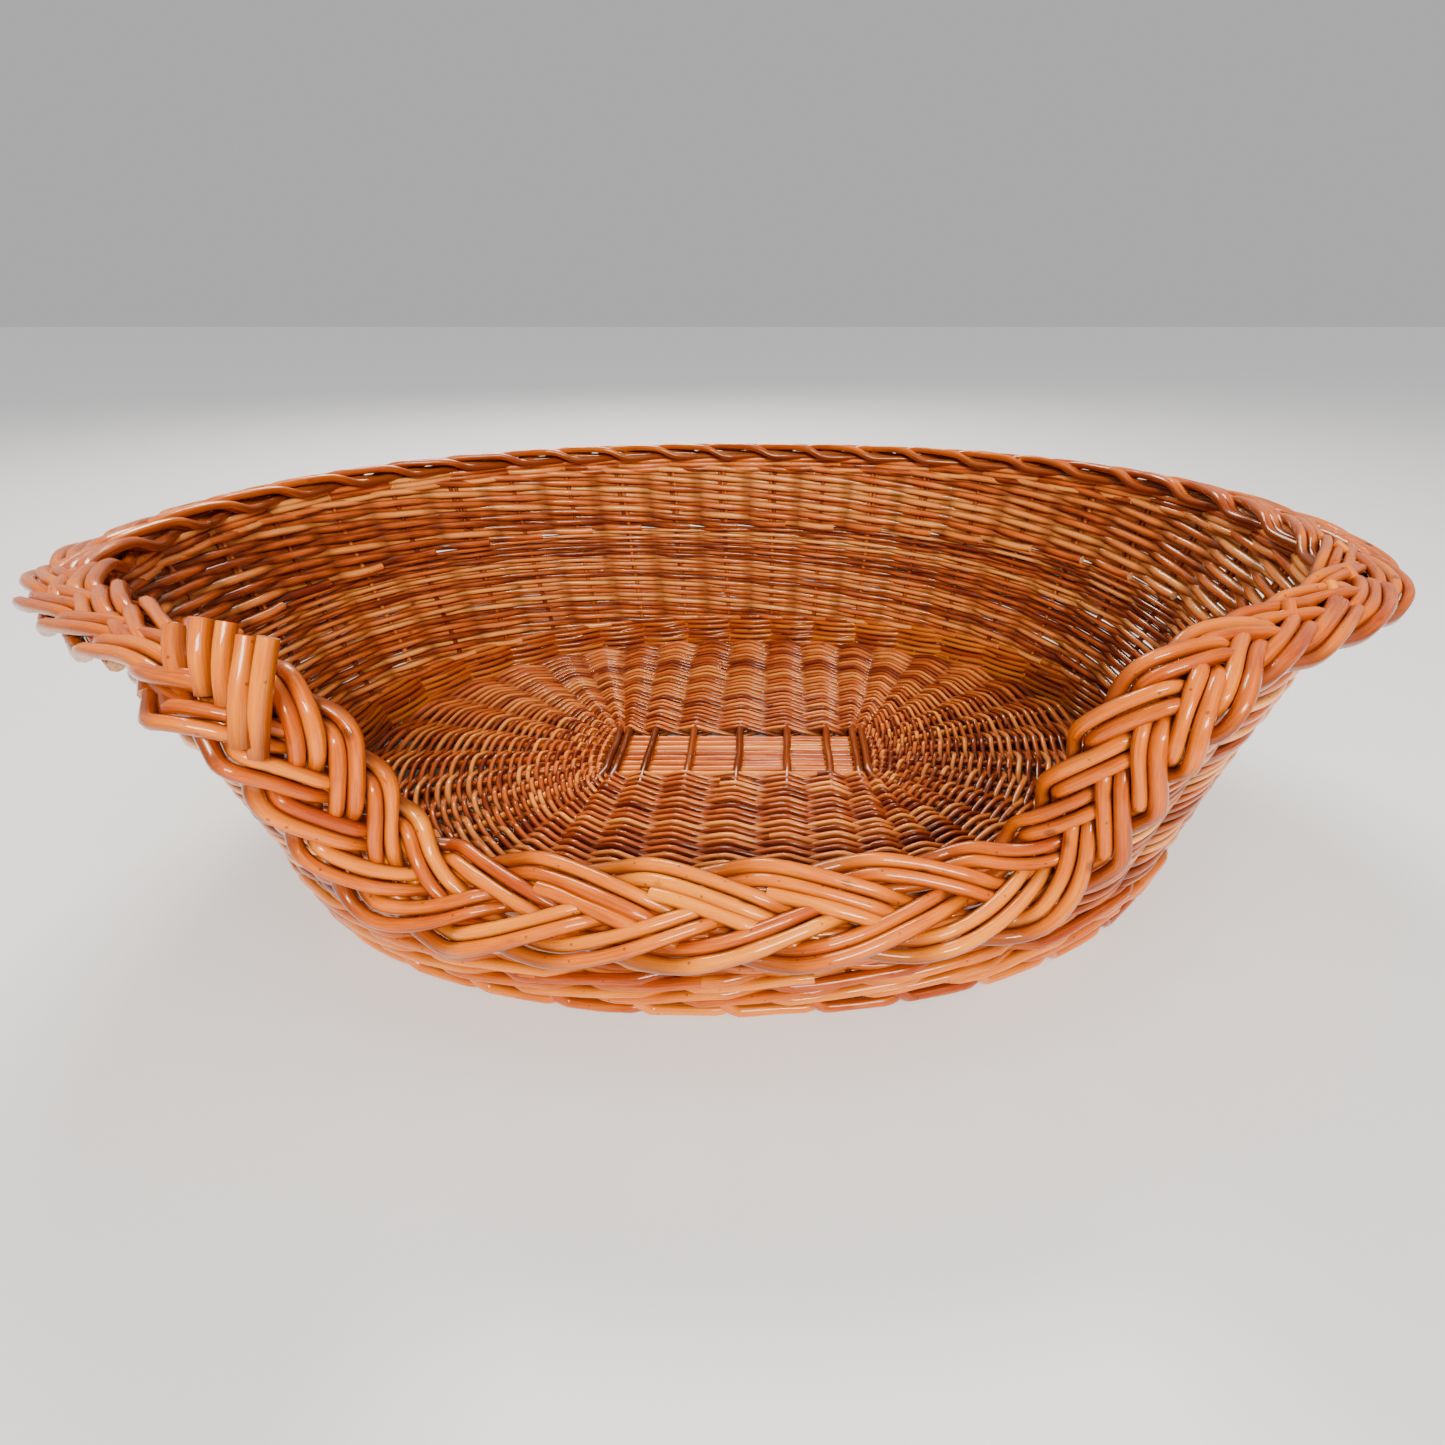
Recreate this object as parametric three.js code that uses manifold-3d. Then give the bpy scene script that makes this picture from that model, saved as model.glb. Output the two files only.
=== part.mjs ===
// Oval willow bed basket for a pet, with a lowered entrance in its front wall.
// Millimetres, +Z up. The basket stands on z = 0 and its entrance faces -Y.
// The wall is worked out on one leaning oval surface, which runs through the middle of every upright stake.
import * as THREE from "three";
import { LoftGeometry } from "three/addons/geometries/LoftGeometry.js";
import { mergeVertices } from "three/addons/utils/BufferGeometryUtils.js";
import Module from "manifold-3d";

// Middle surface of the wall
const HALF_LENGTH = 308; // at the floor, along X
const HALF_WIDTH = 221; // at the floor, along Y
const LEAN_ENDS = 0.205; // outward lean for each millimetre of height, at the ends
const LEAN_SIDES = 0.132; // the same, at the front and back
const OVAL_POWER = 2.2; // 2 is an ellipse, more is squarer
const GAP = 0.3; // clearance between pieces that touch

// Upright stakes
const STAKE_COUNT = 38;
const STAKE_RADIUS = 2.4;
const STAKE_FOOT = 11;
const CHANNEL_RADIUS = STAKE_RADIUS + 0.45;

// Wall bands, from the floor up
const FOOT_HEIGHT = 10;
const FOOT_HALF_THICKNESS = 8;
const FOOT_CHAMFER = 2;
const WALE_TOP = 36;
const WALE_HALF_THICKNESS = 7;
const MID_HEIGHT = 130;
const BAND_HALF_THICKNESS = 5.5;

// Plaited border: height of the wall's edge, and where the entrance's arms bend, measured along the wall from the
// middle of the front
const RIM_HEIGHT = 199;
const SILL_HEIGHT = 100;
const ARM_RIGHT = { foot: 148, head: 163 };
const ARM_LEFT = { foot: -132, head: -143 };
const FOOT_BEND = 30;
const HEAD_BEND = 34;
const PLAIT_THICKNESS = 20;
const PLAIT_WIDTH_RIM = 42;
const PLAIT_WIDTH_SILL = 46;
const PLAIT_INSIDE = 11; // how far the plait reaches in past the wall's middle
// The basket's front corners, past each shoulder, measured along the wall from the middle of the front
const CORNER = { from: 165, full: 215, fading: 250, to: 365 };
const CORNER_NARROWER = 8; // the plait is narrower there
const CORNER_INSIDE = 7; // and reaches further in
const PLAIT_TILT_RIM = 10;
const PLAIT_TILT_SILL = 30;
const PLAIT_TILT_ARM = 22; // extra tilt where the border runs steeply
const SEAT_RIM = 11.5; // from the border's line down to the woven wall's top edge
const SEAT_SILL = 4.2; // added on the sill
const SEAT_ARM = 7; // added where the border runs steeply
const UPRIGHT_ENDS = 5; // cut rod ends that stand up at the left shoulder
const UPRIGHT_RADIUS = 3.6;
const UPRIGHT_PITCH = 8;
const UPRIGHT_FIRST = -153;
const UPRIGHT_TOP = 221;

// Base
const BASE_BOTTOM = 3;
const BASE_TOP = 19.5;
const BASE_INSET = 8.6; // from the wall's middle to the base's rim
const EDGE_ROWS_WIDTH = 26;
const WINDOW_HALF_LENGTH = 101;
const WINDOW_HALF_WIDTH = 28;
const SEAM_HALF_LENGTH = 186;
const SEAM_HALF_WIDTH = 101;
const LONG_STICKS = 8;
const LONG_STICK_RADIUS = 3.45;
const LONG_STICK_PITCH = 6.7;
const LONG_STICK_HALF_LENGTH = 286;
const LONG_STICK_HEIGHT = 8.6;
const CROSS_STICKS = 9;
const CROSS_STICK_RADIUS = 2.8;
const CROSS_STICK_INSET = 20;
const OVAL_POINTS = 76;

// Colours of the varnished willow
const WOOD = {
  base: { color: 0xa8552a, roughness: 0.4 },
  stick: { color: 0xd98a4a, roughness: 0.35 },
  wall: { color: 0xb35f2c, roughness: 0.35 },
  border: { color: 0xd9823f, roughness: 0.3 },
};

const wasm = await Module();
wasm.setup();

// Point on the wall's middle surface, moved outward by `out`.
function wallPoint(angle, height, out = 0) {
  const cos = Math.cos(angle);
  const sin = Math.sin(angle);
  const power = 2 / OVAL_POWER;
  const a = HALF_LENGTH + LEAN_ENDS * height;
  const b = HALF_WIDTH + LEAN_SIDES * height;
  const x = a * Math.sign(cos) * Math.abs(cos) ** power;
  const y = b * Math.sign(sin) * Math.abs(sin) ** power;
  const normal = wallNormal(angle, height);
  return new THREE.Vector3(x + normal.x * out, y + normal.y * out, height);
}

// Level outward normal of the wall.
function wallNormal(angle, height) {
  const cos = Math.cos(angle);
  const sin = Math.sin(angle);
  const power = 2 - 2 / OVAL_POWER;
  const a = HALF_LENGTH + LEAN_ENDS * height;
  const b = HALF_WIDTH + LEAN_SIDES * height;
  const x = (Math.sign(cos) * Math.abs(cos) ** power) / a;
  const y = (Math.sign(sin) * Math.abs(sin) ** power) / b;
  return new THREE.Vector3(x, y, 0).normalize();
}

// Lengths along the wall are measured at this height, from the middle of the front, towards +X.
const MEASURING_HEIGHT = 120;
const MEASURING_STEPS = 7200;
const lengths = [0];
for (let i = 1; i <= MEASURING_STEPS; i++) {
  const before = wallPoint(-Math.PI / 2 + (2 * Math.PI * (i - 1)) / MEASURING_STEPS, MEASURING_HEIGHT);
  const here = wallPoint(-Math.PI / 2 + (2 * Math.PI * i) / MEASURING_STEPS, MEASURING_HEIGHT);
  lengths.push(lengths[i - 1] + here.distanceTo(before));
}
const GIRTH = lengths[MEASURING_STEPS];

// Angle of the wall at a length along it.
function angleAt(along) {
  const s = ((along % GIRTH) + GIRTH) % GIRTH;
  let low = 0;
  let high = MEASURING_STEPS;
  while (high - low > 1) {
    const middle = (low + high) >> 1;
    if (lengths[middle] <= s) low = middle;
    else high = middle;
  }
  const part = (s - lengths[low]) / (lengths[high] - lengths[low]);
  return -Math.PI / 2 + (2 * Math.PI * (low + part)) / MEASURING_STEPS;
}

// The border's line on the unrolled wall: x is the length along the wall, y is the height.
function bend(before, corner, after, reach) {
  const start = corner.clone().add(before.clone().sub(corner).setLength(reach));
  const end = corner.clone().add(after.clone().sub(corner).setLength(reach));
  return new THREE.QuadraticBezierCurve(start, corner, end).getPoints(8);
}

function straight(from, to, step) {
  const count = Math.max(1, Math.round(from.distanceTo(to) / step));
  return new THREE.LineCurve(from, to).getPoints(count).slice(1, -1);
}

// The line runs once round the basket, from the right end of the sill back to the same place.
const sillRight = new THREE.Vector2(ARM_RIGHT.foot, SILL_HEIGHT);
const rimRight = new THREE.Vector2(ARM_RIGHT.head, RIM_HEIGHT);
const rimLeft = new THREE.Vector2(GIRTH + ARM_LEFT.head, RIM_HEIGHT);
const sillLeft = new THREE.Vector2(GIRTH + ARM_LEFT.foot, SILL_HEIGHT);
const turn = new THREE.Vector2(GIRTH, 0);
const bends = [
  bend(sillLeft.clone().sub(turn), sillRight, rimRight, FOOT_BEND),
  bend(sillRight, rimRight, rimLeft, HEAD_BEND),
  bend(rimRight, rimLeft, sillLeft, HEAD_BEND),
  bend(rimLeft, sillLeft, sillRight.clone().add(turn), FOOT_BEND),
];
const STRAIGHT_STEPS = [12, 20, 12, 22];
const borderLine = bends.flatMap((points, i) => {
  const next = i < 3 ? bends[i + 1][0] : bends[0][0].clone().add(turn);
  return [...points, ...straight(points[points.length - 1], next, STRAIGHT_STEPS[i])];
});
const BENDS_AT = bends.map((points) => borderLine.indexOf(points[4]));

// A point of the line and its direction there. An index past the end goes on round the basket.
function borderPoint(index) {
  const count = borderLine.length;
  const place = (i) => borderLine[i % count].clone().addScaledVector(turn, Math.floor(i / count));
  const direction = place(index + 1).sub(place(index + count - 1).sub(turn)).normalize();
  return { point: place(index), direction };
}

function borderStretch(from, to) {
  return Array.from({ length: to - from + 1 }, (_, i) => borderPoint(from + i));
}

const BORDER_LINES = {
  border_arm_right: borderStretch(BENDS_AT[0], BENDS_AT[1]),
  border_back: borderStretch(BENDS_AT[1], BENDS_AT[2]),
  border_arm_left: borderStretch(BENDS_AT[2], BENDS_AT[3]),
  border_sill: borderStretch(BENDS_AT[3], BENDS_AT[0] + borderLine.length),
};

// 0 on the sill, 1 on the rim.
function riseAt(height) {
  return (height - SILL_HEIGHT) / (RIM_HEIGHT - SILL_HEIGHT);
}

// 1 on the basket's front corners past the shoulders, 0 on the rest of the border.
function cornerAt(along) {
  const place = THREE.MathUtils.euclideanModulo(along, GIRTH);
  const away = Math.min(place, GIRTH - place);
  const begin = THREE.MathUtils.smoothstep(away, CORNER.from, CORNER.full);
  return begin * (1 - THREE.MathUtils.smoothstep(away, CORNER.fading, CORNER.to));
}

// Cross-section of the plait at a point of its line, as a ring of points.
function plaitSection(point, direction, slide) {
  const along = point.x + direction.x * slide;
  const height = point.y + direction.y * slide;
  const angle = angleAt(along);
  const middle = wallPoint(angle, height);
  const ahead = wallPoint(angleAt(along + direction.x), height + direction.y);
  const tangent = ahead.sub(middle).normalize();
  const up = wallNormal(angle, height).cross(tangent).normalize();
  const out = tangent.clone().cross(up);
  const rise = riseAt(height);
  const steep = Math.abs(direction.y) * Math.sqrt(Math.max(0, rise));
  const tiltDegrees = PLAIT_TILT_SILL + (PLAIT_TILT_RIM - PLAIT_TILT_SILL) * rise + PLAIT_TILT_ARM * steep;
  const tilt = THREE.MathUtils.degToRad(tiltDegrees);
  const corner = cornerAt(along);
  const width = PLAIT_WIDTH_SILL + (PLAIT_WIDTH_RIM - PLAIT_WIDTH_SILL) * rise - CORNER_NARROWER * corner;
  const across = out.clone().multiplyScalar(Math.cos(tilt)).addScaledVector(up, -Math.sin(tilt));
  const through = out.clone().multiplyScalar(Math.sin(tilt)).addScaledVector(up, Math.cos(tilt));
  const centre = middle.addScaledVector(across, width / 2 - PLAIT_INSIDE - CORNER_INSIDE * corner);
  const ring = [];
  const SIDES = 12;
  for (let i = 0; i < SIDES; i++) {
    const a = (-2 * Math.PI * i) / SIDES;
    const p = centre.clone().addScaledVector(across, (width / 2) * Math.cos(a));
    ring.push(p.addScaledVector(through, (PLAIT_THICKNESS / 2) * Math.sin(a)));
  }
  return ring;
}

function plaitGeometry(line) {
  const last = line.length - 1;
  const sections = line.map(({ point, direction }, i) => {
    const slide = i === 0 ? GAP / 2 : i === last ? -GAP / 2 : 0;
    return plaitSection(point, direction, slide);
  });
  return new LoftGeometry(sections, { capStart: true, capEnd: true });
}

// Top of the woven wall under the plait: it keeps the seat's distance from every point of the border's line.
const seatPoints = Object.values(BORDER_LINES).flatMap((line) =>
  line.flatMap(({ point, direction }, i) => {
    const rise = riseAt(point.y);
    const seat = SEAT_RIM + SEAT_SILL * (1 - rise) + SEAT_ARM * Math.abs(direction.y);
    const next = line[Math.min(i + 1, line.length - 1)].point;
    return [0, 0.25, 0.5, 0.75].map((part) => ({ at: point.clone().lerp(next, part), seat }));
  }),
);

function wallTop(along) {
  let top = RIM_HEIGHT - SEAT_RIM;
  for (const { at, seat } of seatPoints) {
    const away = Math.abs(((at.x - along + 1.5 * GIRTH) % GIRTH) - 0.5 * GIRTH);
    if (away < seat) top = Math.min(top, at.y - Math.sqrt(seat * seat - away * away));
  }
  return top;
}

// Places along the wall where the bands have a cross-section: evenly round it, and closer at the entrance's arms.
function bandStations() {
  const places = [];
  for (let i = 0; i < OVAL_POINTS; i++) places.push((GIRTH * i) / OVAL_POINTS);
  const near = (place) => places.some((p) => Math.abs(p - place) < 5);
  for (const arm of [ARM_RIGHT, ARM_LEFT])
    for (let extra = -10; extra <= 50; extra += 8) {
      const place = (arm.foot + Math.sign(arm.foot) * extra + GIRTH) % GIRTH;
      if (!near(place)) places.push(place);
    }
  return places.sort((a, b) => a - b);
}
const STATIONS = bandStations();

// Section of a wall band between two heights, in the order that the loft needs.
function bandSection(along, bottom, top, half) {
  const angle = angleAt(along);
  return [
    wallPoint(angle, top, -half),
    wallPoint(angle, top, half),
    wallPoint(angle, bottom, half),
    wallPoint(angle, bottom, -half),
  ];
}

function ringGeometry(sectionAt) {
  const sections = STATIONS.map(sectionAt);
  return new LoftGeometry([...sections, sections[0].map((p) => p.clone())]);
}

function footSection(along) {
  const angle = angleAt(along);
  const half = FOOT_HALF_THICKNESS;
  const flat = half - FOOT_CHAMFER;
  const high = FOOT_HEIGHT - FOOT_CHAMFER;
  return [
    wallPoint(angle, high, -half),
    wallPoint(angle, FOOT_HEIGHT, -flat),
    wallPoint(angle, FOOT_HEIGHT, flat),
    wallPoint(angle, high, half),
    wallPoint(angle, FOOT_CHAMFER, half),
    wallPoint(angle, 0, flat),
    wallPoint(angle, 0, -flat),
    wallPoint(angle, FOOT_CHAMFER, -half),
  ];
}

// The upper wall stops at both sides of the entrance, where the border comes down.
function upperWallGeometry() {
  const bottom = MID_HEIGHT + GAP;
  const places = STATIONS.filter((along) => wallTop(along) > bottom + 6);
  return new LoftGeometry(
    places.map((along) => bandSection(along, bottom, wallTop(along), BAND_HALF_THICKNESS)),
    { capStart: true, capEnd: true },
  );
}

// A closed geometry as a solid that can be joined and cut.
function solidOf(geometry) {
  const plain = new THREE.BufferGeometry();
  plain.setAttribute("position", geometry.attributes.position);
  plain.setIndex(geometry.index);
  const merged = mergeVertices(plain, 1e-3);
  const vertProperties = new Float32Array(merged.attributes.position.array);
  const triVerts = new Uint32Array(merged.index.array);
  return new wasm.Manifold(new wasm.Mesh({ numProp: 3, vertProperties, triVerts }));
}

function geometryOf(solid) {
  const mesh = solid.getMesh();
  const geometry = new THREE.BufferGeometry();
  geometry.setAttribute("position", new THREE.BufferAttribute(mesh.vertProperties, 3));
  geometry.setIndex(new THREE.BufferAttribute(mesh.triVerts, 1));
  geometry.computeVertexNormals();
  return geometry;
}

// A straight rod between two points.
function rodGeometry(from, to, radius, sides) {
  const axis = to.clone().sub(from);
  const geometry = new THREE.CylinderGeometry(radius, radius, axis.length(), sides);
  const toAxis = new THREE.Quaternion().setFromUnitVectors(new THREE.Vector3(0, 1, 0), axis.clone().normalize());
  const middle = from.clone().add(to).multiplyScalar(0.5);
  return geometry.applyQuaternion(toAxis).translate(middle.x, middle.y, middle.z);
}

function cut(geometry, tools) {
  let solid = solidOf(geometry);
  for (const tool of tools) solid = solid.subtract(tool);
  return geometryOf(solid);
}

// Flat oval plate with an oval or square-cornered hole.
function ovalPoints(halfLength, halfWidth, power) {
  const points = [];
  for (let i = 0; i < OVAL_POINTS; i++) {
    const a = (2 * Math.PI * i) / OVAL_POINTS;
    const x = Math.sign(Math.cos(a)) * Math.abs(Math.cos(a)) ** (2 / power);
    const y = Math.sign(Math.sin(a)) * Math.abs(Math.sin(a)) ** (2 / power);
    points.push(new THREE.Vector2(x * halfLength, y * halfWidth));
  }
  return points;
}

function windowPoints() {
  const x = WINDOW_HALF_LENGTH;
  const y = WINDOW_HALF_WIDTH;
  return [new THREE.Vector2(-x, -y), new THREE.Vector2(x, -y), new THREE.Vector2(x, y), new THREE.Vector2(-x, y)];
}

function plateGeometry(outline, hole) {
  const shape = new THREE.Shape(outline);
  shape.holes.push(new THREE.Path(hole));
  const depth = BASE_TOP - BASE_BOTTOM;
  return new THREE.ExtrudeGeometry(shape, { depth, bevelEnabled: false }).translate(0, 0, BASE_BOTTOM);
}

// Sticks of the base: the long ones lie side by side, the cross ones lie on them and close up towards both ends.
function longSticksGeometry() {
  let sticks = null;
  for (let i = 0; i < LONG_STICKS; i++) {
    const y = (i - (LONG_STICKS - 1) / 2) * LONG_STICK_PITCH;
    const from = new THREE.Vector3(-LONG_STICK_HALF_LENGTH, y, LONG_STICK_HEIGHT);
    const to = new THREE.Vector3(LONG_STICK_HALF_LENGTH, y, LONG_STICK_HEIGHT);
    const stick = solidOf(rodGeometry(from, to, LONG_STICK_RADIUS, 8));
    sticks = sticks ? sticks.add(stick) : stick;
  }
  return geometryOf(sticks);
}

function crossStick(i, radius, extra) {
  const half = (CROSS_STICKS - 1) / 2;
  const x = WINDOW_HALF_LENGTH * Math.sin(((i - half) / half) * (Math.PI / 2));
  const reach = HALF_WIDTH * (1 - Math.abs(x / HALF_LENGTH) ** OVAL_POWER) ** (1 / OVAL_POWER);
  const y = reach - CROSS_STICK_INSET + extra;
  const z = LONG_STICK_HEIGHT + LONG_STICK_RADIUS + GAP + CROSS_STICK_RADIUS;
  return rodGeometry(new THREE.Vector3(x, -y, z), new THREE.Vector3(x, y, z), radius, 8);
}

function stakeRod(i, radius, foot, extra) {
  const along = ((i + 0.5) * GIRTH) / STAKE_COUNT;
  const angle = angleAt(along);
  const top = Math.min(wallTop(along - STAKE_RADIUS), wallTop(along + STAKE_RADIUS)) - 1 + extra;
  return rodGeometry(wallPoint(angle, foot), wallPoint(angle, top), radius, 6);
}

const stakeNumbers = Array.from({ length: STAKE_COUNT }, (_, i) => i);
const crossNumbers = Array.from({ length: CROSS_STICKS }, (_, i) => i);
const stakeChannels = stakeNumbers.map((i) => solidOf(stakeRod(i, CHANNEL_RADIUS, 5, 8)));
const crossChannels = crossNumbers.map((i) => solidOf(crossStick(i, CROSS_STICK_RADIUS + GAP, 1)));
const tunnelHalf = LONG_STICK_RADIUS + GAP;
const tunnelWidth = LONG_STICK_PITCH * (LONG_STICKS - 1) + 2 * tunnelHalf;
const longTunnel = solidOf(
  new THREE.BoxGeometry(2 * LONG_STICK_HALF_LENGTH + 2, tunnelWidth, 2 * tunnelHalf).translate(
    0,
    0,
    LONG_STICK_HEIGHT,
  ),
);

// The back plait, with the cut rod ends that stand up where it turns down into the left arm.
function backPlaitGeometry(line) {
  let plait = solidOf(plaitGeometry(line));
  for (let i = 0; i < UPRIGHT_ENDS; i++) {
    const angle = angleAt(UPRIGHT_FIRST - i * UPRIGHT_PITCH);
    const end = rodGeometry(wallPoint(angle, RIM_HEIGHT), wallPoint(angle, UPRIGHT_TOP), UPRIGHT_RADIUS, 8);
    plait = plait.add(solidOf(end));
  }
  return geometryOf(plait);
}

const basket = new THREE.Group();

function addPiece(name, geometry, wood) {
  const material = new THREE.MeshStandardMaterial({ ...wood, metalness: 0 });
  const piece = new THREE.Mesh(geometry, material);
  piece.name = name;
  basket.add(piece);
}

const stickTools = [longTunnel, ...crossChannels];
const seam = ovalPoints(SEAM_HALF_LENGTH, SEAM_HALF_WIDTH, 2.1);
const insideSeam = ovalPoints(SEAM_HALF_LENGTH - GAP, SEAM_HALF_WIDTH - GAP, 2.1);
const rimInset = BASE_INSET + EDGE_ROWS_WIDTH;
const edgeInner = ovalPoints(HALF_LENGTH - rimInset, HALF_WIDTH - rimInset, OVAL_POWER);
const insideEdge = ovalPoints(HALF_LENGTH - rimInset - GAP, HALF_WIDTH - rimInset - GAP, OVAL_POWER);
const baseRim = ovalPoints(HALF_LENGTH - BASE_INSET, HALF_WIDTH - BASE_INSET, OVAL_POWER);

addPiece("base_long_sticks", longSticksGeometry(), WOOD.stick);
for (const i of crossNumbers)
  addPiece("base_cross_stick_" + (i + 1), crossStick(i, CROSS_STICK_RADIUS, 0), WOOD.base);
addPiece("base_weave_inner", cut(plateGeometry(insideSeam, windowPoints()), stickTools), WOOD.base);
addPiece("base_weave_outer", cut(plateGeometry(insideEdge, seam), stickTools), WOOD.base);
addPiece("base_edge_rows", cut(plateGeometry(baseRim, edgeInner), stickTools), WOOD.base);
addPiece("foot_border", ringGeometry(footSection), WOOD.border);

const waleSection = (along) => bandSection(along, FOOT_HEIGHT + GAP, WALE_TOP, WALE_HALF_THICKNESS);
const lowerSection = (along) =>
  bandSection(along, WALE_TOP + GAP, Math.min(MID_HEIGHT, wallTop(along)), BAND_HALF_THICKNESS);
addPiece("wall_waling", cut(ringGeometry(waleSection), stakeChannels), WOOD.wall);
addPiece("wall_lower_randing", cut(ringGeometry(lowerSection), stakeChannels), WOOD.wall);
addPiece("wall_upper_randing", cut(upperWallGeometry(), stakeChannels), WOOD.wall);
for (const [name, line] of Object.entries(BORDER_LINES)) {
  const geometry = name === "border_back" ? backPlaitGeometry(line) : plaitGeometry(line);
  addPiece(name, geometry, WOOD.border);
}
for (const i of stakeNumbers) addPiece("stake_" + (i + 1), stakeRod(i, STAKE_RADIUS, STAKE_FOOT, 0), WOOD.wall);

// The origin is on the floor, under the middle of the basket's box.
const box = new THREE.Box3().setFromObject(basket, true);
const centre = box.getCenter(new THREE.Vector3());
basket.children.forEach((piece) => piece.position.set(-centre.x, -centre.y, 0));

export default basket;
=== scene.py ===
import math

import bpy
import numpy as np
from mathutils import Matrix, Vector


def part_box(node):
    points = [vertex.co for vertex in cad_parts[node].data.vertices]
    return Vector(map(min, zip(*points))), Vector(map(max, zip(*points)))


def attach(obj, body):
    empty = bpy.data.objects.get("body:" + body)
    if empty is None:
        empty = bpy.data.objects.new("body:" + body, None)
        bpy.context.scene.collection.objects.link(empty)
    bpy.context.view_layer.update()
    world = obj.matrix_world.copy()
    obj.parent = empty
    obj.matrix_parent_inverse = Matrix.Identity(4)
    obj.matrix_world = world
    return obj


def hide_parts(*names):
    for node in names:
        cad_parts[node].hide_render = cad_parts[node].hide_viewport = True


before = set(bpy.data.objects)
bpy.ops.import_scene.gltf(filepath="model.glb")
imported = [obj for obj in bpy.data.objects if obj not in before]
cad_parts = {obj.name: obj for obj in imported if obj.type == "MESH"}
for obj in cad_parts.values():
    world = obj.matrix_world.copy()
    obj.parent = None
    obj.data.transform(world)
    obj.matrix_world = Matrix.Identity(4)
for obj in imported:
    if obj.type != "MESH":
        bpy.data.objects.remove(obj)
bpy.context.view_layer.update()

MM = 0.001
rng = np.random.default_rng(11)


def count_nodes(prefix):
    return sum(name.startswith(prefix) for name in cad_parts)


# ---- main dimensions ---------------------------------------------------------------------------------
# The wall's middle surface, as in the CAD: half sizes at the floor, and lean for each millimetre of height
HALF_LENGTH, HALF_WIDTH = 308.0, 221.0
LEAN_ENDS, LEAN_SIDES = 0.205, 0.132
OVAL_POWER = 2.2  # 2 is an ellipse, more is squarer
MEASURING_HEIGHT = 120  # lengths along the wall are measured here
foot_low, foot_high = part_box("foot_border")
CENTRE_Y = (foot_low.y + foot_high.y) / 2 / MM

STAKES = count_nodes("stake_")
STAKE_RADIUS = 2.1
WALE_BOTTOM, WALE_TOP = 10.0, 36.0
MID_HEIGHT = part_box("wall_upper_randing")[0].z / MM

# The border's line: its heights, and where the entrance's arms bend at their foot and head
RIM_HEIGHT, SILL_HEIGHT = 199.0, 100.0
ARM_RIGHT, ARM_LEFT = (148.0, 163.0), (-132.0, -143.0)
FOOT_BEND, HEAD_BEND = 30.0, 34.0
# From the line down to the woven edge: on the rim, added on the sill, and added where the line is steep
SEAT_RIM, SEAT_SILL, SEAT_ARM = 11.5, 4.2, 7.0
PLAIT_WIDTH_RIM, PLAIT_WIDTH_SILL = 42.0, 46.0
PLAIT_INSIDE = 11.0  # how far the plait reaches in past the wall's middle
# At the basket's front corners the plait is narrower and reaches further in
CORNER_FROM, CORNER_FULL, CORNER_FADING, CORNER_TO = 165.0, 215.0, 250.0, 365.0
CORNER_NARROWER, CORNER_INSIDE = 8.0, 7.0
TILT_RIM, TILT_SILL, TILT_ARM = 10.0, 30.0, 22.0  # degrees; the last is added where the line is steep

MEASURE_STEPS = 7200  # round an oval
BEND_POINTS = 25  # along each bend of the border's line
LINE_STEPS = 6000  # along the border's line
TOP_STEPS = 1800  # along the wall's woven edge
TILT_EASING = 61  # steps of the border's line over which its tilt is evened out


# ---- the wall and the border's line ------------------------------------------------------------------
def oval(angle, a, b):
    c, s = np.cos(angle), np.sin(angle)
    power = 2 / OVAL_POWER
    return a * np.sign(c) * np.abs(c) ** power, b * np.sign(s) * np.abs(s) ** power


def oval_normal(angle, a, b):
    c, s = np.cos(angle), np.sin(angle)
    x = np.sign(c) * np.abs(c) ** (2 - 2 / OVAL_POWER) / a
    y = np.sign(s) * np.abs(s) ** (2 - 2 / OVAL_POWER) / b
    return np.stack([x, y, 0 * x], -1) / np.hypot(x, y)[..., None]


class Measure:
    """Lengths along a closed oval, from the middle of the front, turned into its angle."""

    def __init__(self, a, b):
        self.angles = np.linspace(-np.pi / 2, 1.5 * np.pi, MEASURE_STEPS + 1)
        x, y = oval(self.angles, a, b)
        self.lengths = np.concatenate([[0], np.cumsum(np.hypot(np.diff(x), np.diff(y)))])
        self.total = self.lengths[-1]

    def angle(self, along):
        return np.interp(np.mod(along, self.total), self.lengths, self.angles)


def half_sizes(height):
    return HALF_LENGTH + LEAN_ENDS * height, HALF_WIDTH + LEAN_SIDES * height


wall_measure = Measure(*half_sizes(MEASURING_HEIGHT))
GIRTH = wall_measure.total
SPACING = GIRTH / STAKES


def wall(along, height, out=0.0):
    """Points on the wall and its level outward normals."""
    along, height = np.broadcast_arrays(np.asarray(along, float), np.asarray(height, float))
    angle = wall_measure.angle(along)
    a, b = half_sizes(height)
    x, y = oval(angle, a, b)
    normal = oval_normal(angle, a, b)
    return np.stack([x, y, height], -1) + normal * np.asarray(out, float)[..., None], normal


def bend(before, corner, after, reach):
    """A round bend that takes the place of a corner, from `reach` before it to `reach` after it."""
    before, corner, after = (np.array(p, float) for p in (before, corner, after))
    start = corner + (before - corner) / np.linalg.norm(before - corner) * reach
    end = corner + (after - corner) / np.linalg.norm(after - corner) * reach
    t = np.linspace(0, 1, BEND_POINTS)[:, None]
    return (1 - t) ** 2 * start + 2 * t * (1 - t) * corner + t**2 * end


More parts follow.
